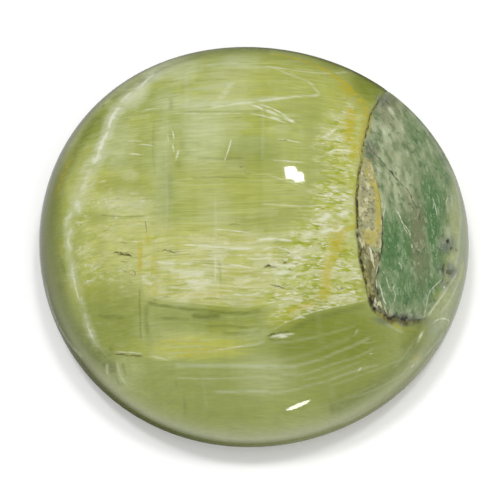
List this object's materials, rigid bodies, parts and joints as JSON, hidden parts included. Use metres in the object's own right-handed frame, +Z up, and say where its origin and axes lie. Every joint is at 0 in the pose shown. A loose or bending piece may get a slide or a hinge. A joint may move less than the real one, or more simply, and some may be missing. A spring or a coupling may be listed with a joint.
{
  "type": "opal cabochon",
  "caption": "Polished oval cabochon of green common opal with a high dome, a soft girdle, a flat back and a patch of host rock in one flank.",
  "frame": {"origin": "middle of the flat back, under the centre of the stone's outline", "axes": "+Z up through the dome; +X along the stone's longer way, towards the patch of host rock; +Y across it"},
  "size_m": [0.024, 0.0228, 0.0098],
  "materials": {
    "opal": "polished"
  },
  "bodies": {
    "root": {"opal_cabochon": "opal"}
  },
  "joints": []
}
